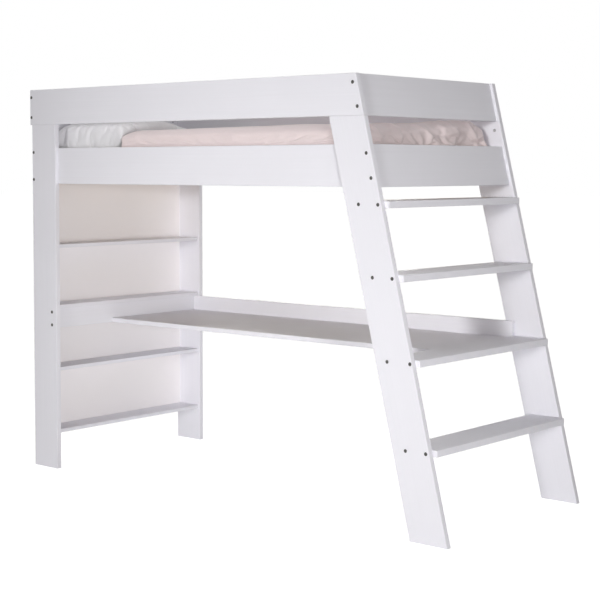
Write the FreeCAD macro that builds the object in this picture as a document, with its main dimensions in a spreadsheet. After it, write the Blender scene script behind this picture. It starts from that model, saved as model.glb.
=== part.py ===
import FreeCAD, Part
import math
import os
import re

# Loft bed with a bookcase at its head, a desk below and slanting steps at its foot.
# Millimetres and degrees. X runs from head to foot, Y from front to back and Z up.
# The origin lies on the floor, in the middle of the bed's outer box.

SIZES = {
    # Whole bed
    "overall_length": 2450,
    "overall_width": 1000,
    "overall_height": 1820,
    "slant_angle": 13.8,
    "board_thickness": 25,
    "edge_radius": 2.5,
    # Posts, stiles and the guard ring on top of them
    "post_width": 168,
    "stile_width": 173,
    "rail_overhang": 14,
    "guard_rail_height": 168,
    "cross_board_thickness": 20,
    "end_board_recess": 14,
    # Bed rails, housed in the backs of the posts and stiles
    "guard_gap": 112,
    "bed_rail_height": 170,
    "bed_rail_thickness": 22,
    "bed_rail_setback": 17,
    "bed_rail_head_gap": 2,
    # Bookcase
    "panel_recess": 4,
    "panel_thickness": 16,
    "panel_groove_depth": 8,
    "shelf_thickness": 18,
    "shelf_setback": 12,
    "bottom_shelf_level": 187,
    # Desk
    "desk_underside": 677,
    "desk_thickness": 22,
    "desk_depth": 580,
    "desk_rail_height": 94,
    "desk_rail_thickness": 20,
    "side_rail_setback": 22,
    "desk_cleat_width": 60,
    "desk_cleat_thickness": 18,
    "desk_cleat_inset": 45,
    # Steps
    "step_thickness": 28,
    "step_depth": 170,
    "step_nosing": 24,
    "top_step_drop": 54,
    "second_step_lift": 19.5,
    "bottom_step_level": 366,
    # Slatted base
    "cleat_lift": 2,
    "cleat_height": 28,
    "cleat_thickness": 22,
    "cleat_end_gap": 12,
    "slat_count": 14,
    "slat_width": 70,
    "slat_thickness": 18,
    "slat_end_gap": 3,
    "slat_margin": 20,
    # Bedding
    "mattress_thickness": 120,
    "mattress_edge_radius": 24,
    "mattress_end_gap": 3,
    "mattress_side_gap": 11,
    "soft_gap": 0.3,
    "pillow_width": 530,
    "pillow_height": 142,
    "pillow_head_gap": 20,
    "pillow_front_gap": 23,
    "pillow_back_gap": 139,
    "duvet_height": 118,
    "duvet_side_gap": 4,
    "duvet_pillow_gap": 2,
    "duvet_foot_gap": 14,
    # Connector bolts and barrel nuts
    "bolt_diameter": 6,
    "bolt_reach": 8,
    "bolt_head_diameter": 15,
    "bolt_head_face": 12,
    "bolt_head_height": 1.8,
    "bolt_socket_width": 4,
    "bolt_socket_depth": 3.2,
    "nut_diameter": 10,
    "nut_length": 14,
    "nut_depth": 30,
    "board_bolt_margin": 36,
    "low_head_bolt_margin": 20,
    "side_rail_bolt_margin": 16,
    "step_bolt_margin": 37,
    "desk_step_bolt_margin": 30,
    # Cam fittings between the guard rails and what they stand on
    "cam_diameter": 15,
    "cam_depth": 15.5,
    "cam_drop": 40,
    "cam_inset": 26,
    "stud_diameter": 7,
    "stud_hold": 11,
    "stud_reach": 3,
    # Dowels
    "dowel_diameter": 8,
    "dowel_short_hold": 12,
    "dowel_long_hold": 18,
    "dowel_edge_distance": 35,
    "desk_dowel_margin": 75,
    # Wood screws
    "screw_diameter": 4.5,
    "screw_hold": 12,
    "screw_head_diameter": 9,
    "screw_head_height": 2.6,
    "screw_tip_length": 6,
    "rail_screw_margin": 38,
    "rail_screw_edge": 43,
    "back_rail_screw_edge": 24,
    "back_rail_screw_inset": 12,
    "desk_cleat_screw_row": 15,
    "desk_cleat_screw_margin": 70,
    # Room that a hole leaves round its fixing
    "hole_clearance": 0.15,
}

# Places worked out from the sizes above
PLACES = {
    "slope": "tan(slant_angle)",
    "head_x": "-overall_length / 2",
    "toe_x": "overall_length / 2",
    "post_x": "head_x + rail_overhang",
    "post_inner_x": "post_x + post_width",
    "outer_y": "overall_width / 2",
    "inner_y": "outer_y - board_thickness",
    "stile_run": "stile_width / cos(slant_angle)",
    "end_face_run": "end_board_recess / cos(slant_angle)",
    "end_back_run": "(end_board_recess + cross_board_thickness) / cos(slant_angle)",
    "guard_base": "overall_height - guard_rail_height",
    "bed_rail_top": "guard_base - guard_gap",
    "bed_rail_base": "bed_rail_top - bed_rail_height",
    "bed_rail_face_y": "outer_y - bed_rail_setback",
    "bed_rail_inner_y": "bed_rail_face_y - bed_rail_thickness",
    "head_face_x": "post_x + cross_board_thickness",
    "bed_rail_x": "head_face_x + bed_rail_head_gap",
    "panel_x": "post_x + panel_recess",
    "panel_face_x": "panel_x + panel_thickness",
    "panel_base": "bottom_shelf_level - shelf_thickness",
    "shelf_front_x": "post_inner_x - shelf_setback",
    "top_shelf_level": "(desk_shelf_level + bed_rail_base) / 2",
    "low_shelf_level": "(bottom_shelf_level + desk_shelf_level) / 2",
    "side_rail_face_x": "post_inner_x - side_rail_setback",
    "side_rail_back_x": "side_rail_face_x - desk_rail_thickness",
    "desk_rail_top": "desk_underside + desk_rail_height",
    "desk_shelf_level": "desk_rail_top + shelf_thickness",
    "desk_level": "desk_underside + desk_thickness",
    "desk_back_y": "inner_y - desk_rail_thickness",
    "desk_front_y": "desk_back_y - desk_depth",
    "desk_step_level": "desk_underside + step_thickness",
    "desk_end_x": "toe_x - slope * desk_step_level + step_nosing - step_depth",
    "top_step_level": "bed_rail_base - top_step_drop",
    "second_step_level": "(top_step_level + desk_step_level) / 2 + second_step_lift",
    "cleat_base": "bed_rail_base + cleat_lift",
    "slat_base": "cleat_base + cleat_height",
    "slat_top": "slat_base + slat_thickness",
    "slat_start_x": "head_face_x + slat_margin",
    "slat_end_x": "toe_x - slope * slat_top - end_back_run - slat_margin",
    "slat_pitch": "(slat_end_x - slat_start_x - slat_width) / (round(slat_count) - 1)",
    "slat_half_length": "bed_rail_inner_y - slat_end_gap",
    "mattress_base": "slat_top + soft_gap",
    "mattress_top": "mattress_base + mattress_thickness",
    "mattress_x": "head_face_x + mattress_end_gap",
    "mattress_end_x": "toe_x - slope * mattress_top - end_back_run - mattress_end_gap",
    "mattress_half_width": "bed_rail_inner_y - mattress_side_gap",
    "bedding_base": "mattress_top + soft_gap",
    "pillow_x": "head_face_x + pillow_head_gap",
    "pillow_front_y": "pillow_front_gap - bed_rail_inner_y",
    "pillow_back_y": "bed_rail_inner_y - pillow_back_gap",
    "duvet_head_x": "pillow_x + pillow_width + duvet_pillow_gap",
    "duvet_foot_x": "toe_x - slope * (bedding_base + duvet_height) - end_back_run - duvet_foot_gap",
    "duvet_half_width": "bed_rail_inner_y - duvet_side_gap",
    "nut_level": "board_thickness + nut_depth",
    "bolt_length": "nut_level + bolt_reach",
    "screw_length": "bed_rail_thickness + screw_hold",
}

# Levels of the shelves and of the steps, from the top down
SHELVES = ("top_shelf_level", "desk_shelf_level", "low_shelf_level", "bottom_shelf_level")
STEPS = ("top_step_level", "second_step_level", "desk_step_level", "bottom_step_level")

HOME = {name: "Sizes" for name in SIZES}
HOME.update({name: "Places" for name in PLACES})
NAME = re.compile(r"[a-z]\w*_\w+|slope")

doc = FreeCAD.newDocument("LoftBed")


def full(expression):
    """Adds its sheet to every size or place named in an expression."""
    return NAME.sub(lambda found: HOME[found.group()] + "." + found.group(), expression)


def make_sheets():
    sizes = doc.addObject("Spreadsheet::Sheet", "Sizes")
    for row, (name, number) in enumerate(SIZES.items(), 1):
        sizes.set(f"A{row}", name)
        sizes.set(f"B{row}", str(number))
        sizes.setAlias(f"B{row}", name)
    doc.recompute()
    places = doc.addObject("Spreadsheet::Sheet", "Places")
    for row, name in enumerate(PLACES, 1):
        places.set(f"A{row}", name)
        places.setAlias(f"B{row}", name)
    for row, formula in enumerate(PLACES.values(), 1):
        places.set(f"B{row}", "=" + full(formula).replace("Places.", ""))
    doc.recompute()
    return {name: float(doc.getObject(home).get(name)) for name, home in HOME.items()}


SIZE = make_sheets()
VECTOR = FreeCAD.Vector
nodes = []
bores = []


def bind(thing, **expressions):
    """Ties properties of a document object to the sheets; x, y and z mean its base point."""
    for name, expression in expressions.items():
        path = f"Placement.Base.{name}" if name in "xyz" else name
        thing.setExpression(path, full(expression))


# Blanks: straight and leaning boards

def block(label, x, y, z):
    """A straight board between two places along each axis."""
    box = doc.addObject("Part::Box", label + "_blank")
    bind(box, Length=f"{x[1]} - ({x[0]})", Width=f"{y[1]} - ({y[0]})", Height=f"{z[1]} - ({z[0]})")
    bind(box, x=x[0], y=y[0], z=z[0])
    return box


def leaning_block(label, low_x, high_x, y, z):
    """A board between two levels whose ends, or faces, follow the slant of the foot end."""
    wedge = doc.addObject("Part::Wedge", label + "_blank")
    wedge.Placement = FreeCAD.Placement(VECTOR(), FreeCAD.Rotation(VECTOR(1, 0, 0), 90))
    width = f"{y[1]} - ({y[0]})"
    bind(wedge, Xmin=low_x[0], Xmax=low_x[1], X2min=high_x[0], X2max=high_x[1])
    bind(wedge, Ymin="0", Ymax=f"{z[1]} - ({z[0]})", Zmin="0", Zmax=width, Z2min="0", Z2max=width)
    bind(wedge, y=y[1], z=z[0])
    return wedge


def slant(level, run="0"):
    """Where a line of the foot end, a level distance behind the stiles' edge, is at a level."""
    return f"toe_x - slope * ({level}) - ({run})"


def slant_at(level):
    return SIZE["toe_x"] - SIZE["slope"] * level


def sides(near, far):
    """Front and back, with the span in Y of a piece that lies between two distances from the middle."""
    return (("front", (f"-({far})", f"-({near})")), ("back", (near, far)))


# Finished pieces

def add_node(label, piece, *cuts, radius=None):
    """Eases a blank's edges, cuts its housings and bores, and keeps it under its own name."""
    doc.recompute()
    radius = radius or SIZE["edge_radius"]
    fillet = doc.addObject("Part::Fillet", label + "_eased")
    fillet.Base = piece
    fillet.Edges = [(number, radius, radius) for number, edge in enumerate(piece.Shape.Edges, 1)]
    piece = fillet
    for cut in cuts:
        piece = cut_from(piece, cut, label)
    doc.recompute()
    box = piece.Shape.BoundBox
    near = [bore for bore in bores if box.intersect(bore.BoundBox)]
    if near:
        tool = doc.addObject("Part::Feature", label + "_bores")
        tool.Shape = Part.makeCompound(near)
        piece = cut_from(piece, tool, label)
    keep_node(label, piece)


def cut_from(piece, tool, label):
    cut = doc.addObject("Part::Cut", label + "_cut")
    cut.Base = piece
    cut.Tool = tool
    return cut


def keep_node(label, piece):
    piece.Label = label
    nodes.append(piece)


# Fixings, each modelled along +Z from the face it is driven into

def cylinder(label, radius, height, start="0"):
    rod = doc.addObject("Part::Cylinder", label)
    bind(rod, Radius=radius, Height=height, z=start)
    return rod


def cone(label, low_radius, high_radius, height, start="0"):
    taper = doc.addObject("Part::Cone", label)
    bind(taper, Radius1=low_radius, Radius2=high_radius, Height=height, z=start)
    return taper


def fuse(label, *pieces):
    joined = doc.addObject("Part::MultiFuse", label)
    joined.Shapes = list(pieces)
    return joined


def cross_cylinder(label, radius, length, start):
    """A rod across the fixing, along its own X."""
    rod = doc.addObject("Part::Cylinder", label)
    rod.Placement = FreeCAD.Placement(VECTOR(), FreeCAD.Rotation(VECTOR(0, 1, 0), 90))
    bind(rod, Radius=radius, Height=length, x=start)
    return rod


def make_bolt():
    head = cone("bolt_head", "bolt_head_face / 2", "bolt_head_diameter / 2", "bolt_head_height",
                "-bolt_head_height")
    shank = cylinder("bolt_shank", "bolt_diameter / 2", "bolt_length")
    socket = doc.addObject("Part::Prism", "bolt_socket")
    socket.Polygon = 6
    bind(socket, Circumradius="bolt_socket_width / sqrt(3)", Height="bolt_socket_depth",
         z="-bolt_head_height")
    return cut_from(fuse("bolt_body", head, shank), socket, "bolt")


def make_nut():
    """A barrel nut, whose axis is the fixing's X."""
    barrel = cross_cylinder("nut_barrel", "nut_diameter / 2", "nut_length", "-nut_length / 2")
    bind(barrel, z="nut_level")
    thread = cylinder("nut_thread", "bolt_diameter / 2 + hole_clearance", "bolt_length * 2")
    return cut_from(barrel, thread, "nut")


def make_stud():
    return cylinder("stud", "stud_diameter / 2", "stud_hold + cam_drop + stud_reach", "-stud_hold")


def make_cam():
    """A cam disc, sunk flush into the face that the fixing's X points at."""
    disc = cross_cylinder("cam_disc", "cam_diameter / 2", "cam_depth", "board_thickness / 2 - cam_depth")
    bind(disc, z="cam_drop")
    mouth = cylinder("cam_mouth", "stud_diameter / 2 + hole_clearance",
                     "cam_drop + stud_reach + hole_clearance")
    return cut_from(disc, mouth, "cam")


def make_dowel():
    return cylinder("dowel", "dowel_diameter / 2", "dowel_short_hold + dowel_long_hold",
                    "-dowel_short_hold")


def make_screw():
    head = cone("screw_head", "screw_head_diameter / 2", "screw_diameter / 2", "screw_head_height")
    shank = cylinder("screw_shank", "screw_diameter / 2", "screw_length - screw_tip_length")
    tip = cone("screw_tip", "screw_diameter / 2", "screw_diameter / 8", "screw_tip_length",
               "screw_length - screw_tip_length")
    return fuse("screw", head, shank, tip)


def seat(place, into, across=None):
    """The frame of a fixing at a place, driven one way, with its X pointing across."""
    if across is None:
        return FreeCAD.Placement(place, FreeCAD.Rotation(VECTOR(0, 0, 1), into))
    turn = FreeCAD.Rotation(across, into.cross(across), into, "ZXY")
    return FreeCAD.Placement(place, turn)


def placed(shape, frame):
    copy = shape.copy()
    copy.Placement = frame.multiply(shape.Placement)
    return copy


def add_fixings(label, master, frames):
    """One node that holds a copy of a fixing at every frame, each a solid of its own."""
    group = doc.addObject("Part::Feature", label + "_group")
    group.Shape = Part.makeCompound([placed(master.Shape, frame) for frame in frames])
    keep_node(label, group)


def pair(low, high, margin):
    """Two places, each a margin in from one end of a span."""
    return (SIZE[low] + SIZE[margin], SIZE[high] - SIZE[margin])


def connector_rows():
    """Place in X and Z, way to the nut's open end, and half thickness, of every connector on one side."""
    board = SIZE["cross_board_thickness"]
    angle = math.radians(SIZE["slant_angle"])
    inward = VECTOR(-math.cos(angle), 0, -math.sin(angle))
    end_run = (SIZE["end_board_recess"] + board / 2) / math.cos(angle)
    rows = []
    for z in pair("guard_base", "overall_height", "board_bolt_margin"):
        rows.append((SIZE["head_x"] + board / 2, z, VECTOR(1, 0, 0), board / 2))
        rows.append((slant_at(z) - end_run, z, inward, board / 2))
    for z in pair("bed_rail_base", "bed_rail_top", "low_head_bolt_margin"):
        rows.append((SIZE["post_x"] + board / 2, z, VECTOR(1, 0, 0), board / 2))
    for z in pair("bed_rail_base", "bed_rail_top", "board_bolt_margin"):
        rows.append((slant_at(z) - end_run, z, inward, board / 2))
    side_rail = SIZE["desk_rail_thickness"]
    for z in pair("desk_underside", "desk_rail_top", "side_rail_bolt_margin"):
        rows.append((SIZE["side_rail_back_x"] + side_rail / 2, z, VECTOR(-1, 0, 0), side_rail / 2))
    half = SIZE["step_thickness"] / 2
    for step in STEPS:
        margin = SIZE["desk_step_bolt_margin" if step == "desk_step_level" else "step_bolt_margin"]
        nose = slant_at(SIZE[step]) + SIZE["step_nosing"]
        for x in (nose - margin, nose - SIZE["step_depth"] + margin):
            rows.append((x, SIZE[step] - half, VECTOR(0, 0, -1), half))
    return rows


def add_connectors():
    bolt = make_bolt()
    nut = make_nut()
    doc.recompute()
    room = SIZE["hole_clearance"]
    frames = []
    for x, z, across, half in connector_rows():
        nut_end = SIZE["nut_length"] / 2 + room
        bolt_bore = Part.makeCylinder(SIZE["bolt_diameter"] / 2 + room, SIZE["bolt_length"] + 2 * room)
        nut_bore = Part.makeCylinder(SIZE["nut_diameter"] / 2 + room, nut_end + half + room,
                                     VECTOR(-nut_end, 0, SIZE["nut_level"]), VECTOR(1, 0, 0))
        bore = bolt_bore.fuse(nut_bore)
        for side in (-1, 1):
            frame = seat(VECTOR(x, side * SIZE["outer_y"], z), VECTOR(0, -side, 0), across)
            frames.append(frame)
            bores.append(placed(bore, frame))
    add_fixings("connector_bolts", bolt, frames)
    add_fixings("barrel_nuts", nut, frames)


def joint_spans():
    """Where, along X, the guard rails stand on the posts and on the stiles."""
    foot = slant_at(SIZE["guard_base"])
    return ((SIZE["post_x"], SIZE["post_inner_x"]), (foot - SIZE["stile_run"], foot))


def add_cams():
    stud = make_stud()
    cam = make_cam()
    doc.recompute()
    room = SIZE["hole_clearance"]
    depth = SIZE["cam_depth"] + room
    half_board = SIZE["board_thickness"] / 2
    stud_length = SIZE["stud_hold"] + SIZE["cam_drop"] + SIZE["stud_reach"] + 2 * room
    stud_bore = Part.makeCylinder(SIZE["stud_diameter"] / 2 + room, stud_length,
                                  VECTOR(0, 0, -SIZE["stud_hold"] - room))
    cam_bore = Part.makeCylinder(SIZE["cam_diameter"] / 2 + room, depth + room,
                                 VECTOR(half_board - depth, 0, SIZE["cam_drop"]), VECTOR(1, 0, 0))
    bore = stud_bore.fuse(cam_bore)
    frames = []
    for low, high in joint_spans():
        for x in (low + SIZE["cam_inset"], high - SIZE["cam_inset"]):
            for side in (-1, 1):
                place = VECTOR(x, side * (SIZE["outer_y"] - half_board), SIZE["guard_base"])
                frame = seat(place, VECTOR(0, 0, -1), VECTOR(0, -side, 0))
                frames.append(frame)
                bores.append(placed(bore, frame))
    add_fixings("cam_studs", stud, frames)
    add_fixings("cam_nuts", cam, frames)


def spread(low, high, count):
    return [low + (high - low) * step / (count - 1) for step in range(count)]


def add_dowels():
    """Dowels: short end into the frame, long end into the rail, shelf or desk."""
    dowel = make_dowel()
    doc.recompute()
    edge = SIZE["dowel_edge_distance"]
    margin = SIZE["desk_dowel_margin"]
    frames = []
    for side in (-1, 1):
        inward = VECTOR(0, -side, 0)
        for low, high in joint_spans():
            place = VECTOR((low + high) / 2, side * (SIZE["outer_y"] - SIZE["board_thickness"] / 2),
                           SIZE["guard_base"])
            frames.append(seat(place, VECTOR(0, 0, -1)))
        for shelf in SHELVES:
            for x in (SIZE["panel_face_x"] + edge, SIZE["shelf_front_x"] - edge):
                place = VECTOR(x, side * SIZE["inner_y"], SIZE[shelf] - SIZE["shelf_thickness"] / 2)
                frames.append(seat(place, inward))
    desk_z = SIZE["desk_underside"] + SIZE["desk_thickness"] / 2
    for y in spread(SIZE["desk_front_y"] + margin, SIZE["desk_back_y"] - margin, 3):
        frames.append(seat(VECTOR(SIZE["side_rail_face_x"], y, desk_z), VECTOR(1, 0, 0)))
        frames.append(seat(VECTOR(SIZE["desk_end_x"], y, desk_z), VECTOR(-1, 0, 0)))
    for x in spread(SIZE["side_rail_face_x"] + margin, SIZE["desk_end_x"] - margin, 5):
        frames.append(seat(VECTOR(x, SIZE["desk_back_y"], desk_z), VECTOR(0, -1, 0)))
    room = SIZE["hole_clearance"]
    length = SIZE["dowel_short_hold"] + SIZE["dowel_long_hold"] + 2 * room
    bore = Part.makeCylinder(SIZE["dowel_diameter"] / 2 + room, length,
                             VECTOR(0, 0, -SIZE["dowel_short_hold"] - room))
    bores.extend(placed(bore, frame) for frame in frames)
    add_fixings("dowels", dowel, frames)


def screw_frames():
    frames = []
    margin = SIZE["rail_screw_margin"]
    cleat_middle = SIZE["cleat_base"] + SIZE["cleat_height"] / 2
    cleat_y = SIZE["bed_rail_inner_y"] - SIZE["cleat_thickness"]
    for side in (-1, 1):
        outward = VECTOR(0, side, 0)
        for z in pair("bed_rail_base", "bed_rail_top", "rail_screw_edge"):
            stile_x = slant_at(z) - SIZE["stile_run"]
            rail_end = slant_at(z) - SIZE["end_back_run"]
            for x in (SIZE["bed_rail_x"] + margin, SIZE["post_inner_x"] - margin,
                      stile_x + margin, rail_end - margin):
                frames.append(seat(VECTOR(x, side * SIZE["bed_rail_inner_y"], z), outward))
        for slat in range(round(SIZE["slat_count"])):
            x = SIZE["slat_start_x"] + slat * SIZE["slat_pitch"] + SIZE["slat_width"] / 2
            y = side * (SIZE["bed_rail_inner_y"] - SIZE["cleat_thickness"] / 2)
            frames.append(seat(VECTOR(x, y, SIZE["slat_top"]), VECTOR(0, 0, -1)))
            if slat % 2:
                between = x - SIZE["slat_pitch"] / 2
                frames.append(seat(VECTOR(between, side * cleat_y, cleat_middle), outward))
    frames.extend(desk_screw_frames())
    return frames


def desk_screw_frames():
    frames = []
    for z in pair("desk_underside", "desk_rail_top", "back_rail_screw_edge"):
        for x in pair("side_rail_face_x", "desk_end_x", "back_rail_screw_inset"):
            frames.append(seat(VECTOR(x, SIZE["outer_y"], z), VECTOR(0, -1, 0)))
    cleat_low = SIZE["desk_front_y"] + SIZE["desk_cleat_inset"] + SIZE["desk_cleat_screw_margin"]
    cleat_high = SIZE["desk_back_y"] - SIZE["desk_cleat_inset"] - SIZE["desk_cleat_screw_margin"]
    under = SIZE["desk_underside"] - SIZE["desk_cleat_thickness"]
    for y in (cleat_low, cleat_high):
        for x in (SIZE["desk_end_x"] - SIZE["desk_cleat_screw_row"],
                  SIZE["desk_end_x"] + SIZE["desk_cleat_screw_row"]):
            frames.append(seat(VECTOR(x, y, under), VECTOR(0, 0, 1)))
    return frames


def add_screws():
    screw = make_screw()
    doc.recompute()
    room = SIZE["hole_clearance"]
    radius = SIZE["screw_diameter"] / 2 + room
    head = Part.makeCone(SIZE["screw_head_diameter"] / 2 + room, radius, SIZE["screw_head_height"])
    bore = head.fuse(Part.makeCylinder(radius, SIZE["screw_length"] + room))
    frames = screw_frames()
    bores.extend(placed(bore, frame) for frame in frames)
    add_fixings("wood_screws", screw, frames)


# Boards

def add_frame():
    between = ("-inner_y", "inner_y")
    guard = ("guard_base", "overall_height")
    rail = ("bed_rail_base", "bed_rail_top")
    panel = block("bookcase_back", ("panel_x", "panel_face_x"),
                  ("-inner_y - panel_groove_depth", "inner_y + panel_groove_depth"),
                  ("panel_base", "bed_rail_base"))
    add_node("bookcase_back", panel)
    for side, y in sides("bed_rail_inner_y", "bed_rail_face_y"):
        label = side + "_bed_rail"
        bed_rail = leaning_block(label, ("bed_rail_x", slant(rail[0], "end_back_run")),
                                 ("bed_rail_x", slant(rail[1], "end_back_run")), y, rail)
        add_node(label, bed_rail)
        add_uprights(side, panel, bed_rail)
    for side, y in sides("inner_y", "outer_y"):
        label = side + "_guard_rail"
        add_node(label, leaning_block(label, ("head_x", slant(guard[0])), ("head_x", slant(guard[1])),
                                      y, guard))
    add_node("upper_head_board", block("upper_head_board", ("head_x", "head_x + cross_board_thickness"),
                                       between, guard))
    add_node("lower_head_board", block("lower_head_board", ("post_x", "head_face_x"), between,
                                       ("bed_rail_base", "guard_base")))
    for label, z in (("upper_end_board", guard), ("lower_end_board", rail)):
        faces = [(slant(level, "end_back_run"), slant(level, "end_face_run")) for level in z]
        add_node(label, leaning_block(label, faces[0], faces[1], between, z))


def add_uprights(side, panel, bed_rail):
    """The post, grooved for the bookcase's back, and the stile, both housed for the bed rail."""
    y = dict(sides("inner_y", "outer_y"))[side]
    upright = ("0", "guard_base")
    post = block(side + "_post", ("post_x", "post_inner_x"), y, upright)
    add_node(side + "_post", post, panel, bed_rail)
    low, high = [(slant(level, "stile_run"), slant(level)) for level in upright]
    add_node(side + "_stile", leaning_block(side + "_stile", low, high, y, upright), bed_rail)


def add_bookcase():
    between = ("-inner_y", "inner_y")
    for number, level in enumerate(SHELVES, 1):
        label = f"shelf_{number}"
        add_node(label, block(label, ("panel_face_x", "shelf_front_x"), between,
                              (f"{level} - shelf_thickness", level)))


def add_desk():
    rail = ("desk_underside", "desk_rail_top")
    length = ("side_rail_face_x", "desk_end_x")
    add_node("desk_side_rail", block("desk_side_rail", ("side_rail_back_x", "side_rail_face_x"),
                                     ("-inner_y", "inner_y"), rail))
    add_node("desk_back_rail", block("desk_back_rail", length, ("desk_back_y", "inner_y"), rail))
    add_node("desk_top", block("desk_top", length, ("desk_front_y", "desk_back_y"),
                               ("desk_underside", "desk_level")))
    add_node("desk_end_cleat", block(
        "desk_end_cleat", ("desk_end_x - desk_cleat_width / 2", "desk_end_x + desk_cleat_width / 2"),
        ("desk_front_y + desk_cleat_inset", "desk_back_y - desk_cleat_inset"),
        ("desk_underside - desk_cleat_thickness", "desk_underside")))


def add_steps():
    for number, level in enumerate(STEPS, 1):
        nose = slant(level, "-step_nosing")
        label = f"step_{number}"
        add_node(label, block(label, (f"{nose} - step_depth", nose), ("-inner_y", "inner_y"),
                              (f"{level} - step_thickness", level)))


def add_slats():
    span = ("head_face_x + cleat_end_gap", slant("slat_base", "end_back_run + cleat_end_gap"))
    for side, y in sides("bed_rail_inner_y - cleat_thickness", "bed_rail_inner_y"):
        label = side + "_slat_cleat"
        add_node(label, block(label, span, y, ("cleat_base", "slat_base")))
    for number in range(round(SIZE["slat_count"])):
        start = f"slat_start_x + {number} * slat_pitch"
        label = f"slat_{number + 1:02d}"
        add_node(label, block(label, (start, f"{start} + slat_width"),
                              ("-slat_half_length", "slat_half_length"), ("slat_base", "slat_top")))


# Bedding. A cushion's section, in shares of its height: how far its sole and its shoulders lie in
# from its widest line, and how high its shoulders and that line are.
SOLE_INSET = 0.35
PILLOW_SHOULDER_INSET = 0.4
DUVET_SHOULDER_INSET = 0.22
SHOULDER_RISE = 0.8
WIDEST_RISE = 0.42


def add_mattress():
    blank = block("mattress", ("mattress_x", "mattress_end_x"),
                  ("-mattress_half_width", "mattress_half_width"), ("mattress_base", "mattress_top"))
    add_node("mattress", blank, radius=SIZE["mattress_edge_radius"])


def cushion_section(half_width, height, shoulder_inset, to_place):
    """A closed section: flat below, two bulging sides and a crowned top. to_place gives its points."""
    sole = half_width - SOLE_INSET * height
    shoulder = half_width - shoulder_inset * height
    rise = SHOULDER_RISE * height
    widest = WIDEST_RISE * height
    foot_left, foot_right = to_place(-sole, 0), to_place(sole, 0)
    left, right = to_place(-shoulder, rise), to_place(shoulder, rise)
    edges = [
        Part.LineSegment(foot_left, foot_right),
        Part.Arc(foot_right, to_place(half_width, widest), right),
        Part.Arc(right, to_place(0, height), left),
        Part.Arc(left, to_place(-half_width, widest), foot_left),
    ]
    return Part.Wire([edge.toShape() for edge in edges])


def add_cushion(label, sections):
    cushion = doc.addObject("Part::Feature", label)
    cushion.Shape = Part.makeLoft(sections, True, False)
    keep_node(label, cushion)


def add_pillow():
    """A plump pillow across the head end, fullest in the middle and drawn in along its sides."""
    width, height, base = SIZE["pillow_width"], SIZE["pillow_height"], SIZE["bedding_base"]
    front, back = SIZE["pillow_front_y"], SIZE["pillow_back_y"]
    middle = SIZE["pillow_x"] + width / 2
    # Along the pillow: share of its length, of its width and of its height
    profile = ((0, 0.97, 0.25), (0.05, 1, 0.62), (0.17, 0.98, 0.9), (0.5, 0.96, 1), (0.83, 0.98, 0.9),
               (0.95, 1, 0.62), (1, 0.97, 0.25))
    sections = []
    for along, wide, tall in profile:
        y = front + along * (back - front)
        sections.append(cushion_section(wide * width / 2, tall * height, PILLOW_SHOULDER_INSET,
                                        lambda across, up, y=y: VECTOR(middle + across, y, base + up)))
    add_cushion("pillow", sections)


def add_duvet():
    """A quilt that fills the bed from the pillow to the foot, rounded along its sides and ends."""
    half_width, height, base = SIZE["duvet_half_width"], SIZE["duvet_height"], SIZE["bedding_base"]
    head, foot = SIZE["duvet_head_x"], SIZE["duvet_foot_x"]
    # Along the duvet from its foot: share of its length, of its width and of its height
    profile = ((0, 0.97, 0.45), (0.03, 0.99, 0.82), (0.1, 1, 1), (0.35, 1, 0.96), (0.65, 1, 0.98),
               (0.92, 1, 0.95), (0.98, 0.99, 0.7), (1, 0.97, 0.4))
    sections = []
    for along, wide, tall in profile:
        x = foot + along * (head - foot)
        sections.append(cushion_section(wide * half_width, tall * height, DUVET_SHOULDER_INSET,
                                        lambda across, up, x=x: VECTOR(x, across, base + up)))
    add_cushion("duvet", sections)


def check_and_write():
    doc.recompute()
    faults = [thing.Label for thing in doc.Objects if {"Invalid", "Error"} & set(thing.State)]
    for node in nodes:
        if node.Shape.isNull() or not node.Shape.isValid() or not node.Shape.Solids:
            faults.append(node.Label)
    if faults:
        raise RuntimeError("not sound: " + ", ".join(faults))
    os.makedirs("parts", exist_ok=True)
    for node in nodes:
        node.Shape.exportStep(f"parts/{node.Label}.step")
    print(len(nodes), "nodes,", sum(len(node.Shape.Solids) for node in nodes), "solids")


add_connectors()
add_cams()
add_dowels()
add_screws()
add_frame()
add_bookcase()
add_desk()
add_steps()
add_slats()
add_mattress()
add_pillow()
add_duvet()
check_and_write()
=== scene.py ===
import math

import bmesh
import bpy
from mathutils import Euler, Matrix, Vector, noise


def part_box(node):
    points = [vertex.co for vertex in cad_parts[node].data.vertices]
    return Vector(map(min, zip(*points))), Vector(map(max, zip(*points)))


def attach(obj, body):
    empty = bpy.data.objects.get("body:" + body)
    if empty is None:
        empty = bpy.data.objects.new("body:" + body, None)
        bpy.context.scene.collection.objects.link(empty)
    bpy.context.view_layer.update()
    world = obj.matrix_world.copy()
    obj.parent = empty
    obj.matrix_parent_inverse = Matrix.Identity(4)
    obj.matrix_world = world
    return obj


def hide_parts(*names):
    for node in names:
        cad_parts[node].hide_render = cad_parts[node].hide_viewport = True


bl_info = {
    "name": "Loft Bed",
    "version": (1, 0, 0),
    "blender": (4, 5, 0),
    "location": "View3D > Sidebar > Loft Bed",
    "description": "Finishes a loft bed: lacquered boards, fittings, mattress, pillow, duvet and studio",
    "category": "Object",
}

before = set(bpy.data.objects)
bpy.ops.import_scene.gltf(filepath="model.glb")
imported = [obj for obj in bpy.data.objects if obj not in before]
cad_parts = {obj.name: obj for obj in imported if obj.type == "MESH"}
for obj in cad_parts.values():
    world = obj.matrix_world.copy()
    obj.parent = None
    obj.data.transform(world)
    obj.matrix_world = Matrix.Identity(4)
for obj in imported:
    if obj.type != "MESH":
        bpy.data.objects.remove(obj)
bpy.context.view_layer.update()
BODY = "root"
MM = 0.001


def nodes_named(start):
    return tuple(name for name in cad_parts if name.startswith(start))


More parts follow.
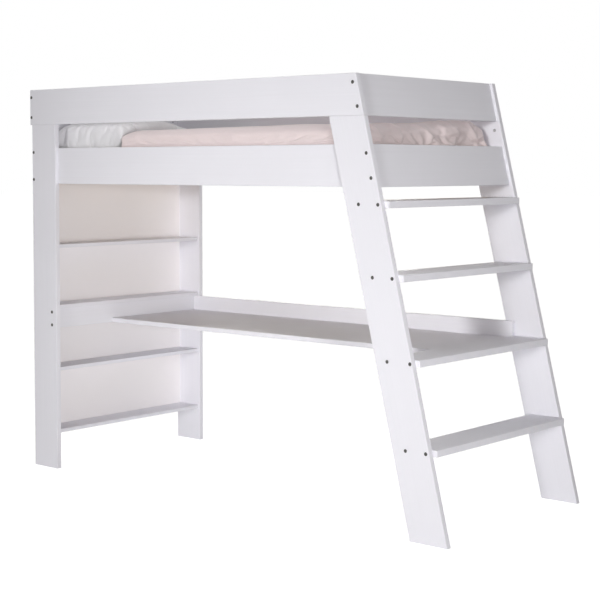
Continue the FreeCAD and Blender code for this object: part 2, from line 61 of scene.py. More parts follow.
# The boards by the way their length runs
LENGTHWISE = ("front_guard_rail", "back_guard_rail", "front_bed_rail", "back_bed_rail", "desk_back_rail",
              "desk_top")
CROSSWISE = ("upper_head_board", "lower_head_board", "desk_side_rail", "desk_end_cleat",
             *nodes_named("shelf_"), *nodes_named("step_"))
UPRIGHT = ("front_post", "back_post")
LEANING = ("front_stile", "back_stile")
LEANING_CROSSWISE = ("upper_end_board", "lower_end_board")
CLEATS = ("front_slat_cleat", "back_slat_cleat")
SLATS = nodes_named("slat_")
ZINC = ("barrel_nuts", "cam_studs", "cam_nuts", "wood_screws")

# The boxes that the leaning finish and the bedding are fitted to
STILE_LOW, STILE_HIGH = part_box("front_stile")
MATTRESS_LOW, MATTRESS_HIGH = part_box("mattress")
PILLOW_LOW, PILLOW_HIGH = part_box("pillow")
DUVET_LOW, DUVET_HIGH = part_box("duvet")

# Softboxes: where each stands, what it faces, its edge in metres and how many degrees wide it shines
SOFTBOXES = {
    "key": ((4.4, -20.0, 2.6), (0.9, 0.0, 1.1), 4.0, 10.0),
    "fill": ((8.0, -5.4, 0.8), (-1.0, 0.0, 0.7), 2.0, 24.0),
    "top": ((-0.8, 0.2, 7.0), (-0.4, 0.0, 1.6), 2.0, 32.0),
    "rear": ((-9.0, 10.0, 0.2), (0.0, 0.0, 0.9), 4.0, 25.0),
}

# A Mix node's colour sockets, whose names its other kinds of value share
MIX_FIRST, MIX_SECOND, MIX_RESULT = 6, 7, 2


# Materials

def start_material(name):
    material = bpy.data.materials.new(name)
    material.use_nodes = True
    tree = material.node_tree
    return material, tree, tree.nodes["Principled BSDF"]


def feed(tree, socket, value):
    """Links a socket to a node's output, or sets its constant."""
    if isinstance(value, bpy.types.NodeSocket):
        tree.links.new(value, socket)
    else:
        socket.default_value = value


def add_node(tree, kind, settings=None, **inputs):
    """A shader node with its settings and its sockets' values or links."""
    node = tree.nodes.new(kind)
    for name, value in (settings or {}).items():
        setattr(node, name, value)
    for name, value in inputs.items():
        feed(tree, node.inputs[name.replace("_", " ")], value)
    return node


def turned(tree, vector, rotation):
    node = add_node(tree, "ShaderNodeVectorRotate", {"rotation_type": "EULER_XYZ"}, Vector=vector,
                    Rotation=rotation)
    return node.outputs[0]


def object_place(tree, scale=(1, 1, 1), rotation=(0, 0, 0)):
    """Object coordinates, turned and then stretched."""
    place = turned(tree, add_node(tree, "ShaderNodeTexCoord").outputs["Object"], rotation)
    return add_node(tree, "ShaderNodeMapping", Vector=place, Scale=scale).outputs[0]


def drawn_out(tree, along, across_scale, along_scale, rotation=(0, 0, 0)):
    """Object coordinates for a pattern that is drawn out along one axis."""
    scale = [across_scale] * 3
    scale["XYZ".index(along)] = along_scale
    return object_place(tree, scale, rotation)


def noise_value(tree, place, scale=1.0, detail=2.0):
    return add_node(tree, "ShaderNodeTexNoise", Vector=place, Scale=scale, Detail=detail).outputs["Fac"]


def spread(tree, value, low, high, to_low, to_high):
    """A value mapped from one range to another, and kept inside it."""
    node = add_node(tree, "ShaderNodeMapRange", Value=value, From_Min=low, From_Max=high, To_Min=to_low,
                    To_Max=to_high)
    return node.outputs["Result"]


def calculate(tree, operation, first, second):
    node = add_node(tree, "ShaderNodeMath", {"operation": operation})
    for socket, value in zip(node.inputs, (first, second)):
        feed(tree, socket, value)
    return node.outputs[0]


def blend_colours(tree, share, first, second):
    """The first colour where the share is 0 and the second where it is 1."""
    node = add_node(tree, "ShaderNodeMix", {"data_type": "RGBA"}, Factor=share)
    for number, colour in ((MIX_FIRST, first), (MIX_SECOND, second)):
        linked = isinstance(colour, bpy.types.NodeSocket)
        feed(tree, node.inputs[number], colour if linked else (*colour, 1))
    return node.outputs[MIX_RESULT]


def stain(tree, tone, pattern, low, high, colour, most=1.0):
    """Blends a colour into a tone as a pattern goes from low to high."""
    return blend_colours(tree, spread(tree, pattern, low, high, 0.0, most), tone, colour)


def bump(tree, height, distance, strength, under=None):
    node = add_node(tree, "ShaderNodeBump", Height=height, Distance=distance, Strength=strength)
    if under is not None:
        tree.links.new(under, node.inputs["Normal"])
    return node.outputs[0]


def shade(colour, factor):
    return tuple(channel * factor for channel in colour)


def finish_surface(tree, shader, tone, roughness, normal):
    for name, value in (("Base Color", tone), ("Roughness", roughness), ("Normal", normal)):
        tree.links.new(value, shader.inputs[name])


def eased_edge(tree, rotation):
    """Nearly 1 on a board's eased edges, where the surface faces none of the board's own ways."""
    flat, eased = 0.955, 0.8
    normal = turned(tree, add_node(tree, "ShaderNodeTexCoord").outputs["Normal"], rotation)
    sides = add_node(tree, "ShaderNodeVectorMath", {"operation": "ABSOLUTE"})
    tree.links.new(normal, sides.inputs[0])
    split = add_node(tree, "ShaderNodeSeparateXYZ", Vector=sides.outputs[0])
    widest = calculate(tree, "MAXIMUM", split.outputs[0], split.outputs[1])
    widest = calculate(tree, "MAXIMUM", widest, split.outputs[2])
    return spread(tree, widest, flat, eased, 0.0, 1.0)


def make_lacquer(name, colour, roughness, along, rotation=(0, 0, 0)):
    """Sprayed satin lacquer: faint streaks along the board, fine orange peel and painted shade on eased
    edges.
    """
    material, tree, shader = start_material(name)
    edge_shade_share = 0.6
    streaks = noise_value(tree, drawn_out(tree, along, 150.0, 1.6, rotation), detail=4.0)
    flat = object_place(tree)
    clouds = noise_value(tree, flat, scale=3.5, detail=3.0)
    peel = noise_value(tree, flat, scale=520.0, detail=1.0)
    tone = stain(tree, colour, streaks, 0.35, 0.7, shade(colour, 0.972))
    tone = stain(tree, tone, clouds, 0.3, 0.75, shade(colour, 0.968))
    # Painted shade: the eased edges are darkened, standing in for the shading of the rounded edges
    painted_edge_shade = calculate(tree, "MULTIPLY", eased_edge(tree, rotation), edge_shade_share)
    tone = blend_colours(tree, painted_edge_shade, tone, shade(colour, 0.86))
    satin = spread(tree, clouds, 0.25, 0.75, roughness - 0.05, roughness + 0.06)
    skin = bump(tree, streaks, distance=0.06 * MM, strength=0.6)
    skin = bump(tree, peel, distance=0.03 * MM, strength=0.8, under=skin)
    finish_surface(tree, shader, tone, satin, skin)
    shader.inputs["Specular IOR Level"].default_value = 0.28
    return material


def make_panel(colour):
    """White melamine on the bookcase's back: a fine pearl grain and a little warmth; its colour is set
    lighter than the boards' as painted light inside the bookcase.
    """
    material, tree, shader = start_material("bookcase_melamine")
    place = object_place(tree)
    pearl = noise_value(tree, place, scale=900.0)
    clouds = noise_value(tree, place, scale=2.2, detail=3.0)
    tone = stain(tree, colour, clouds, 0.3, 0.7, shade(colour, 0.965))
    tone = stain(tree, tone, pearl, 0.45, 0.8, shade(colour, 0.95), most=0.5)
    satin = spread(tree, clouds, 0.3, 0.7, 0.46, 0.56)
    finish_surface(tree, shader, tone, satin, bump(tree, pearl, distance=0.03 * MM, strength=0.7))
    shader.inputs["Specular IOR Level"].default_value = 0.25
    return material


def make_pine(name, colour, late_colour, along):
    """Bare planed pine: year rings drawn out along the board, with pores and a few darker flames."""
    material, tree, shader = start_material(name)
    place = drawn_out(tree, along, 34.0, 1.1)
    flames = noise_value(tree, place, scale=0.5)
    waves = add_node(tree, "ShaderNodeTexWave", {"wave_type": "RINGS", "rings_direction": along},
                     Vector=place, Scale=0.55, Distortion=9.0, Detail=3.0, Detail_Scale=0.8)
    rings = waves.outputs["Fac"]
    fibre = noise_value(tree, drawn_out(tree, along, 900.0, 12.0))
    late = spread(tree, rings, 0.45, 0.95, 0.0, 0.8)
    tone = blend_colours(tree, late, colour, late_colour)
    tone = stain(tree, tone, flames, 0.4, 0.8, shade(late_colour, 0.9), most=0.6)
    tone = stain(tree, tone, fibre, 0.5, 0.8, shade(colour, 0.75), most=0.4)
    planed = spread(tree, late, 0.0, 1.0, 0.62, 0.48)
    grain = bump(tree, rings, distance=0.12 * MM, strength=0.5)
    grain = bump(tree, fibre, distance=0.08 * MM, strength=0.7, under=grain)
    finish_surface(tree, shader, tone, planed, grain)
    return material


def make_steel(name, colour, roughness):
    """Turned and plated steel: fine tool marks and a patchy film."""
    material, tree, shader = start_material(name)
    place = object_place(tree)
    marks = noise_value(tree, drawn_out(tree, "Y", 2600.0, 300.0))
    film = noise_value(tree, place, scale=160.0, detail=3.0)
    tone = stain(tree, colour, film, 0.3, 0.75, shade(colour, 0.7))
    plated = spread(tree, film, 0.3, 0.7, roughness - 0.08, roughness + 0.12)
    finish_surface(tree, shader, tone, plated, bump(tree, marks, distance=0.02 * MM, strength=0.6))
    shader.inputs["Metallic"].default_value = 1.0
    return material


def make_cotton(name, colour, thread, sheen):
    """Plain-woven cotton on the piece's own cloth map, with slubs, uneven dye and painted shade between
    the threads.
    """
    material, tree, shader = start_material(name)
    cloth = add_node(tree, "ShaderNodeUVMap", {"uv_map": "Cloth"}).outputs[0]
    turns = 1 / (2 * thread)
    waves = [add_node(tree, "ShaderNodeTexWave", {"bands_direction": way}, Vector=cloth, Scale=turns,
                      Distortion=1.2, Detail=1.0).outputs["Fac"] for way in "XY"]
    weave = calculate(tree, "MULTIPLY", *waves)
    long_place = add_node(tree, "ShaderNodeMapping", Vector=cloth, Scale=(40.0, 600.0, 1.0)).outputs[0]
    slubs = noise_value(tree, long_place)
    dye = noise_value(tree, cloth, scale=6.0, detail=4.0)
    tone = stain(tree, colour, dye, 0.3, 0.75, shade(colour, 0.95))
    # Painted shade: darker in the gaps between the threads
    tone = blend_colours(tree, spread(tree, weave, 0.1, 0.9, 0.22, 0.0), tone, shade(colour, 0.8))
    tone = stain(tree, tone, slubs, 0.55, 0.8, shade(colour, 0.88), most=0.35)
    matt = spread(tree, dye, 0.3, 0.7, 0.78, 0.9)
    crumple = noise_value(tree, cloth, scale=38.0, detail=4.0)
    surface = bump(tree, crumple, distance=1.2 * MM, strength=0.35)
    surface = bump(tree, weave, distance=0.12 * MM, strength=0.5, under=surface)
    finish_surface(tree, shader, tone, matt, surface)
    shader.inputs["Sheen Weight"].default_value = sheen
    shader.inputs["Sheen Roughness"].default_value = 0.5
    shader.inputs["Specular IOR Level"].default_value = 0.2
    return material


def dress(nodes, material):
    """Gives each of the CAD nodes one finish all over."""
    for name in nodes:
        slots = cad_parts[name].data.materials
        slots.clear()
        slots.append(material)


# Settings that a user would change

def colour_setting(name, description, default):
    return bpy.props.FloatVectorProperty(name=name, description=description, default=default, size=3,
                                         subtype="COLOR", min=0.0, max=1.0)


def length_setting(name, description, default):
    return bpy.props.FloatProperty(name=name, description=description, default=default, min=0.0,
                                   subtype="DISTANCE", unit="LENGTH")


def share_setting(name, description, default):
    return bpy.props.FloatProperty(name=name, description=description, default=default, min=0.0, max=1.0,
                                   subtype="FACTOR")


def power_setting(name, description, default):
    return bpy.props.FloatProperty(name=name, description=description, default=default, min=0.0,
                                   subtype="POWER")


class LoftBedFinish(bpy.types.PropertyGroup):
    lacquer: colour_setting("Lacquer", "Colour of the boards", (0.86, 0.852, 0.9))
    lacquer_roughness: share_setting("Lacquer roughness", "Satin gloss of the boards", 0.46)
    # Set lighter than the lacquer: painted light for the brighter light inside the bookcase
    panel: colour_setting("Panel", "Colour of the bookcase's back", (0.98, 0.945, 0.95))
    pine: colour_setting("Pine", "Colour of the slats' early wood", (0.71, 0.53, 0.33))
    late_pine: colour_setting("Late pine", "Colour of the slats' year rings", (0.52, 0.32, 0.16))
    bolt: colour_setting("Bolts", "Colour of the connector bolts", (0.13, 0.125, 0.12))
    bolt_roughness: share_setting("Bolt roughness", "Roughness of the connector bolts", 0.42)
    zinc: colour_setting("Zinc", "Colour of nuts, cams and screws", (0.6, 0.6, 0.62))
    zinc_roughness: share_setting("Zinc roughness", "Roughness of nuts, cams and screws", 0.36)


class LoftBedBedding(bpy.types.PropertyGroup):
    pillow: colour_setting("Pillow", "Colour of the pillow's cotton", (0.9, 0.892, 0.912))
    duvet: colour_setting("Duvet", "Colour of the duvet's cover", (0.85, 0.738, 0.735))
    ticking: colour_setting("Ticking", "Colour of the mattress", (0.83, 0.82, 0.8))
    thread: length_setting("Thread", "Distance between the threads of the cotton", 0.7 * MM)
    pillow_cell: length_setting("Pillow cell", "Edge of the pillow's cloth cells", 10 * MM)
    duvet_cell: length_setting("Duvet cell", "Edge of the duvet's cloth cells", 12 * MM)


class LoftBedStudio(bpy.types.PropertyGroup):
    camera_place: bpy.props.FloatVectorProperty(
        name="Camera place", description="Where the camera stands", default=(4.3091, -4.9699, 1.4451),
        size=3, subtype="TRANSLATION", unit="LENGTH")
    camera_turn: bpy.props.FloatProperty(
        name="Camera turn", description="How far the camera turns to its left", subtype="ANGLE",
        default=math.radians(40.509))
    camera_tilt: bpy.props.FloatProperty(
        name="Camera tilt", description="How far the camera looks down", subtype="ANGLE",
        default=math.radians(2.857))
    camera_lens: bpy.props.FloatProperty(
        name="Lens", description="Focal length in millimetres on a 36 mm frame", default=86.56, min=1.0)
    camera_rise: bpy.props.FloatProperty(
        name="Rise", description="Upward shift of the picture's frame", default=-0.1)
    key: power_setting("Key", "Watts of the softbox in front", 22.0)
    fill: power_setting("Fill", "Watts of the softbox at the right", 10.5)
    top: power_setting("Top", "Watts of the softbox over the bed", 4.0)
    rear: power_setting("Rear", "Watts of the softbox behind the bed", 60.0)
    room_light: share_setting("Room light", "Even light from the room", 0.26)
    floor_light: share_setting("Floor light", "Glow of the lit studio floor on the bed", 0.15)
    floor_white: share_setting("Floor white", "Glow of the lit studio floor in the picture", 0.8)
    floor: colour_setting("Floor", "Colour of the studio floor", (0.9, 0.9, 0.9))


# Boards and fittings

def stile_slant():
    """How far the stile leans from upright, from its foot edge near the floor and near its top."""
    near = 20 * MM
    places = [vertex.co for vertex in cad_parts["front_stile"].data.vertices]
    low = max(place.x for place in places if place.z < STILE_LOW.z + near)
    high = max(place.x for place in places if place.z > STILE_HIGH.z - near)
    return math.atan2(low - high, STILE_HIGH.z - STILE_LOW.z)


class LOFTBED_OT_boards(bpy.types.Operator):
    """Lacquer the boards, each along its own length"""
    bl_idname = "loftbed.boards"
    bl_label = "Lacquer the boards"

    def execute(self, context):
        finish = context.scene.loft_bed_finish
        colour = tuple(finish.lacquer)
        rough = finish.lacquer_roughness
        lean = (0.0, stile_slant(), 0.0)
        dress(LENGTHWISE, make_lacquer("lacquer_lengthwise", colour, rough, "X"))
        dress(CROSSWISE, make_lacquer("lacquer_crosswise", colour, rough, "Y"))
        dress(UPRIGHT, make_lacquer("lacquer_upright", colour, rough, "Z"))
        dress(LEANING, make_lacquer("lacquer_leaning", colour, rough, "Z", lean))
        dress(LEANING_CROSSWISE, make_lacquer("lacquer_end_boards", colour, rough, "Y", lean))
        dress(("bookcase_back",), make_panel(tuple(finish.panel)))
        return {"FINISHED"}


class LOFTBED_OT_slats(bpy.types.Operator):
    """Give the slats, their cleats and the dowels bare wood"""
    bl_idname = "loftbed.slats"
    bl_label = "Pine slats"

    def execute(self, context):
        finish = context.scene.loft_bed_finish
        colours = tuple(finish.pine), tuple(finish.late_pine)
        dress(SLATS, make_pine("pine_slats", *colours, "Y"))
        dress(CLEATS, make_pine("pine_cleats", *colours, "X"))
        dress(("dowels",), make_pine("beech_dowels", *colours, "Z"))
        return {"FINISHED"}


class LOFTBED_OT_fittings(bpy.types.Operator):
    """Finish the bolts, nuts, cams and screws"""
    bl_idname = "loftbed.fittings"
    bl_label = "Fittings"

    def execute(self, context):
        finish = context.scene.loft_bed_finish
        burnished = make_steel("burnished_bolts", tuple(finish.bolt), finish.bolt_roughness)
        dress(("connector_bolts",), burnished)
        dress(ZINC, make_steel("zinc_plate", tuple(finish.zinc), finish.zinc_roughness))
        return {"FINISHED"}


# Bedding

def add_object(name, data):
    """A new object at the scene's origin."""
    item = bpy.data.objects.new(name, data)
    bpy.context.scene.collection.objects.link(item)
    return item


def add_mesh(name, bm):
    """A new object that takes over a finished bmesh."""
    mesh = bpy.data.meshes.new(name)
    bm.to_mesh(mesh)
    bm.free()
    return add_object(name, mesh)


def new_piece(name, bm, material, node):
    """A finished piece in the place of a CAD node, riding on the bed."""
    piece = add_mesh(name, bm)
    piece.data.materials.append(material)
    for face in piece.data.polygons:
        face.use_smooth = True
    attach(piece, BODY)
    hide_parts(node)
    return piece


def cloth_grid(low, high, cell):
    """A level sheet of square cells, halfway up between two corners."""
    size = high - low
    columns = max(2, round(size.x / cell))
    rows = max(2, round(size.y / cell))
    bm = bmesh.new()
    bmesh.ops.create_grid(bm, x_segments=columns, y_segments=rows, size=0.5)
    bmesh.ops.scale(bm, vec=(size.x, size.y, 1.0), verts=bm.verts)
    bmesh.ops.translate(bm, vec=(low + high) / 2, verts=bm.verts)
    return bm


def block_grid(low, high, cell):
    """A closed block of square cells between two corners."""
    size = high - low
    no_length = 1e-6
    bm = bmesh.new()
    bmesh.ops.create_cube(bm, size=1.0)
    for axis in range(3):
        run = [edge for edge in bm.edges
               if abs((edge.verts[0].co - edge.verts[1].co)[axis]) > no_length]
        cuts = max(1, round(size[axis] / cell) - 1)
        bmesh.ops.subdivide_edges(bm, edges=run, cuts=cuts, use_grid_fill=True)
    bmesh.ops.scale(bm, vec=size, verts=bm.verts)
    bmesh.ops.translate(bm, vec=(low + high) / 2, verts=bm.verts)
    return bm


def map_cloth(bm):
    """Lays the cloth map: along X and Y on level faces, and along the face on upright ones."""
    layer = bm.loops.layers.uv.new("Cloth")
    for face in bm.faces:
        normal = face.normal
        for loop in face.loops:
            place = loop.vert.co
            if abs(normal.z) > max(abs(normal.x), abs(normal.y)):
                loop[layer].uv = (place.x, place.y)
            elif abs(normal.x) > abs(normal.y):
                loop[layer].uv = (place.z, place.y)
            else:
                loop[layer].uv = (place.x, place.z)


def smooth_step(value, low, high):
    share = min(1.0, max(0.0, (value - low) / (high - low)))
    return share * share * (3 - 2 * share)


def ridge(*place):
    """Folds: narrow crests with wide hollows between them, 0.5 at a crest and below 0 in a hollow."""
    return 0.5 - 2 * abs(noise.noise(Vector(place)))


def weigh(piece, name, weight):
    """A vertex group that holds each vertex's weight by its place."""
    group = piece.vertex_groups.new(name=name)
    for vertex in piece.data.vertices:
        group.add([vertex.index], weight(vertex.co), "REPLACE")
    return group.name


def run_cloth(piece, frames, held=None, loose=None, gravity=0.0, **settings):
    """Lets a piece settle as cloth, held and loose by place, and keeps the settled mesh."""
    modifier = piece.modifiers.new("Cloth", "CLOTH")
    cloth = modifier.settings
    cloth.quality = 6
    cloth.mass = 0.25
    cloth.air_damping = 2.0
    cloth.effector_weights.gravity = gravity
    modifier.collision_settings.use_collision = gravity > 0
    modifier.collision_settings.distance_min = 2 * MM
    if held is not None:
        cloth.vertex_group_mass = weigh(piece, "Held", held)
    if loose is not None:
        cloth.vertex_group_shrink = weigh(piece, "Loose", loose)
    for name, value in settings.items():
        setattr(cloth, name, value)
    scene = bpy.context.scene
    modifier.point_cache.frame_start = 1
    modifier.point_cache.frame_end = frames
    for number in range(1, frames + 1):
        scene.frame_set(number)
    graph = bpy.context.evaluated_depsgraph_get()
    settled = bpy.data.meshes.new_from_object(piece.evaluated_get(graph))
    piece.modifiers.clear()
    piece.vertex_groups.clear()
    piece.data = settled
    scene.frame_set(1)


def soften(piece):
    """One level of subdivision, the same in every view."""
    modifier = piece.modifiers.new("Soften", "SUBSURF")
    modifier.levels = 1
    modifier.render_levels = 1


class LOFTBED_OT_mattress(bpy.types.Operator):
    """Model the mattress with a quilted top and piped edges"""
    bl_idname = "loftbed.mattress"
    bl_label = "Mattress"
    piping = 6 * MM
    top_inset = Vector((22 * MM, 22 * MM, 0))
    top_cell = 20 * MM
    border_reach = 30 * MM
    coarser = 1.5
    # Runs of the border in millimetres, outward and upward: over the upper piping to the straight side,
    # that side's swell, and from its foot round the lower piping to the underside
    upper_border = ((10, 1), (8, -1), (3.2, -4), (0.6, -5), (-1.8, -3.5), (-1, -6), (0.8, -18))
    side_swell = 1.2
    lower_border = ((-1.2, -18), (-0.8, -6), (1, -3.5), (1.8, -4), (-0.8, -4), (-5, -3))

    def execute(self, context):
        bedding = context.scene.loft_bed_bedding
        low, high = MATTRESS_LOW, MATTRESS_HIGH
        half, middle = (high - low) / 2, (high + low) / 2
        bm = cloth_grid(low + self.top_inset, high - self.top_inset, self.top_cell)
        bmesh.ops.translate(bm, vec=(0, 0, half.z - self.piping), verts=bm.verts)
        self.quilt(bm, half - self.top_inset, middle)
        piped = sum(down for out, down in (*self.upper_border, *self.lower_border))
        side = (high.z - low.z - self.piping) / MM + piped
        edges = [edge for edge in bm.edges if edge.is_boundary]
        for out, down in (*self.upper_border, (self.side_swell, -side), *self.lower_border):
            edges = self.run_out(bm, edges, out * MM, down * MM, half, middle)
        bmesh.ops.holes_fill(bm, edges=edges, sides=0)
        bmesh.ops.recalc_face_normals(bm, faces=bm.faces)
        map_cloth(bm)
        thread = bedding.thread * self.coarser
        cotton = make_cotton("mattress_ticking", tuple(bedding.ticking), thread, sheen=0.15)
        piece = new_piece("mattress_pad", bm, cotton, "mattress")
        return {"FINISHED"}

    def quilt(self, bm, half, middle):
        """Sewn diamonds that draw the top down along their seams, and end before the border."""
        pitch, depth, fade, roundness = 150 * MM, 4 * MM, 40 * MM, 0.6
        for vertex in bm.verts:
            place = vertex.co
            across = [abs(math.sin(math.pi * (place.x + way * place.y) / pitch)) for way in (-1, 1)]
            border = min(half[axis] - abs(place[axis] - middle[axis]) for axis in (0, 1))
            place.z += depth * (min(across) ** roundness - 0.5) * smooth_step(border, 0.0, fade)

    def run_out(self, bm, edges, out, down, half, middle):
        """Draws the border out by one run and gives its new edges."""
        made = bmesh.ops.extrude_edge_only(bm, edges=edges)["geom"]
        verts = [item for item in made if isinstance(item, bmesh.types.BMVert)]
        for vertex in verts:
            for axis in (0, 1):
                offset = vertex.co[axis] - middle[axis]
                if abs(offset) > half[axis] - self.border_reach:
                    vertex.co[axis] += math.copysign(1.0, offset) * out
            vertex.co.z += down
        return [item for item in made if isinstance(item, bmesh.types.BMEdge)]


class LOFTBED_OT_pillow(bpy.types.Operator):
    """Fill a cotton bag to a plump pillow"""
    bl_idname = "loftbed.pillow"
    bl_label = "Pillow"
    # The bag before it is filled: spare cloth round its edge and how full its two sides stand
    spare = 40 * MM
    fullness = 45 * MM
    parting = 9 * MM
    # Slanting folds: how many to the metre along X, along Y and along their own run, and which draw
    fold_sets = ((14, 30, 2.5, 0), (11, 26, 3.5, 4))
    fold_depth, front_fold_depth = 3, 13
    # The filled pillow: where its seam lies, how round its top and how flat its underside is
    seam_share = 0.3
    roundness = 2.4
    flatness = 3.5
    # How much lower it is on its far side, and how far its front is pushed to the foot
    far_drop = 0.32
    push = 0.3
    overhang = Vector((10 * MM, 6 * MM, 0))

    def execute(self, context):
        bedding = context.scene.loft_bed_bedding
        spare = Vector((1, 1, 0)) * self.spare
        bm = cloth_grid(PILLOW_LOW - spare, PILLOW_HIGH + spare, bedding.pillow_cell)
        self.sew_bag(bm)
        map_cloth(bm)
        cotton = make_cotton("pillow_cotton", tuple(bedding.pillow), bedding.thread, sheen=0.25)
        piece = new_piece("pillow_case", bm, cotton, "pillow")
        run_cloth(piece, 32, use_pressure=True, uniform_pressure_force=9.0, shrink_min=-0.06,
                  tension_stiffness=12.0, compression_stiffness=12.0, bending_stiffness=0.08)
        self.lay_down(piece.data)
        soften(piece)
        return {"FINISHED"}

    def sew_bag(self, bm):
        """A second sheet under the first, joined to it round the edge, both a little full."""
        geometry = bm.verts[:] + bm.edges[:] + bm.faces[:]
        upper = bm.verts[:]
        under = bmesh.ops.duplicate(bm, geom=geometry)["geom"]
        lower = [item for item in under if isinstance(item, bmesh.types.BMVert)]
        for verts, way in ((upper, 1), (lower, -1)):
            for vertex in verts:
                if vertex.is_boundary:
                    continue
                share = 1.0
                for axis in (0, 1):
                    middle = (PILLOW_LOW[axis] + PILLOW_HIGH[axis]) / 2
                    half = (PILLOW_HIGH[axis] - PILLOW_LOW[axis]) / 2 + self.spare
                    share *= 1 - abs((vertex.co[axis] - middle) / half) ** 3
                folds = self.folds(*vertex.co.xy, share, way)
                vertex.co.z += way * (self.fullness * share ** 0.5 + folds * MM + self.parting)
        bmesh.ops.remove_doubles(bm, verts=bm.verts, dist=0.5 * MM)
        bmesh.ops.recalc_face_normals(bm, faces=bm.faces)

    def folds(self, x, y, share, way):
        """Height of the folds in millimetres: deepest in front, and fading at the seam."""
        front = smooth_step(-y, 0.0, 0.42)
        height = max(ridge(x * along - y * across, (x + y) * run, way + draw)
                     for along, across, run, draw in self.fold_sets)
        return height * ((self.fold_depth + self.front_fold_depth * front) * min(1.0, 3 * share))

    def lay_down(self, mesh):
        """Settles the bag in its place: seam low, underside flat, fullest in front."""
        places = [vertex.co for vertex in mesh.vertices]
        top = max(place.z for place in places)
        seam = (top + min(place.z for place in places)) / 2
        height = PILLOW_HIGH.z - PILLOW_LOW.z
        seam_rise = self.seam_share * height
        for place in places:
            share = (place.z - seam) / (top - seam)
            if share > 0:
                rise = seam_rise + (height - seam_rise) * (1 - (1 - share) ** self.roundness)
            else:
                rise = seam_rise * max(0.0, 1 + self.flatness * share)
            rise *= 1 - self.far_drop * smooth_step(place.y, -0.15, 0.2)
            place.z = PILLOW_LOW.z + rise
            place.x += self.push * rise * smooth_step(-place.y, -0.1, 0.35)
        self.fit_plan(places)
        mesh.update()

    def fit_plan(self, places):
        """Stretches the pillow to its place as seen from above."""
        low = PILLOW_LOW - self.overhang
        for axis in (0, 1):
            least = min(place[axis] for place in places)
            most = max(place[axis] for place in places)
            scale = (PILLOW_HIGH[axis] - low[axis]) / (most - least)
            for place in places:
                place[axis] = low[axis] + (place[axis] - least) * scale


